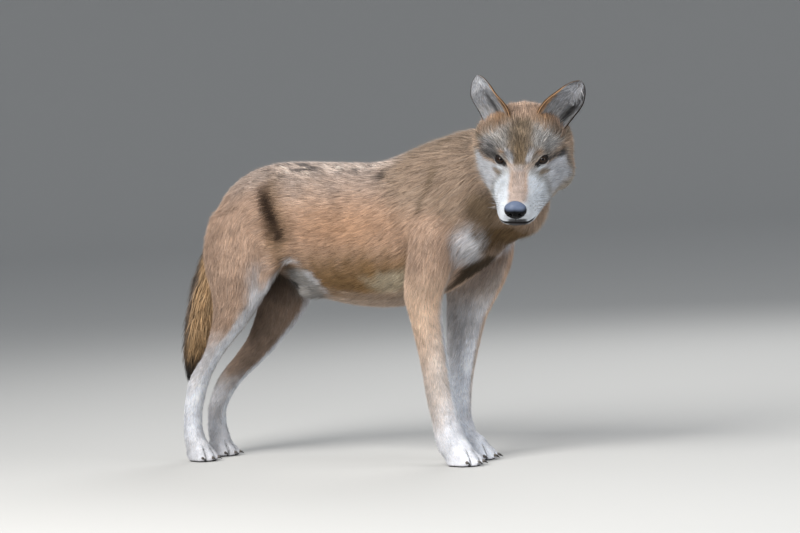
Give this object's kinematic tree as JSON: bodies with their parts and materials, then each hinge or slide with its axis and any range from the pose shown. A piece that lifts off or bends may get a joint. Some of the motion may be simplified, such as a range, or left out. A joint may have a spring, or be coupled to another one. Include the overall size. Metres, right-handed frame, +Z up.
{
  "type": "wolf",
  "caption": "Life-size still model of a timber wolf standing with its head turned to its right, tail hanging, thick winter coat",
  "frame": {"origin": "middle of the standing wolf's box, on the floor under its paws", "axes": "+X forward along the trunk, +Y to the wolf's left, +Z up"},
  "size_m": [1.2318, 0.3469, 0.9098],
  "materials": {
    "coat": "thick agouti winter fur, tan and brown with dark tips, cream below",
    "leg_coat": "short fur, tan outside and cream white below",
    "paw_coat": "short cream white fur with dark claws",
    "tail_coat": "brown brush with a dark rear edge and tip",
    "ear_coat": "short fur, tan behind and grey inside with dark rims",
    "nose_leather": "damp black pebbled nose leather",
    "eye_glass": "dark amber glossy eye",
    "claw_horn": "dark horn, slightly glossy"
  },
  "bodies": {
    "root": {"trunk": "coat", "neck": "coat", "head": "coat", "nose": "nose_leather", "eye_left": "eye_glass", "eye_right": "eye_glass", "ear_left": "ear_coat", "ear_right": "ear_coat", "tail": "tail_coat", "foreleg_upper_left": "leg_coat", "foreleg_upper_right": "leg_coat", "foreleg_lower_left": "leg_coat", "foreleg_lower_right": "leg_coat", "forepaw_left": "paw_coat", "forepaw_right": "paw_coat", "hindleg_upper_left": "leg_coat", "hindleg_upper_right": "leg_coat", "hindleg_lower_left": "leg_coat", "hindleg_lower_right": "leg_coat", "hindpaw_left": "paw_coat", "hindpaw_right": "paw_coat"}
  },
  "joints": []
}
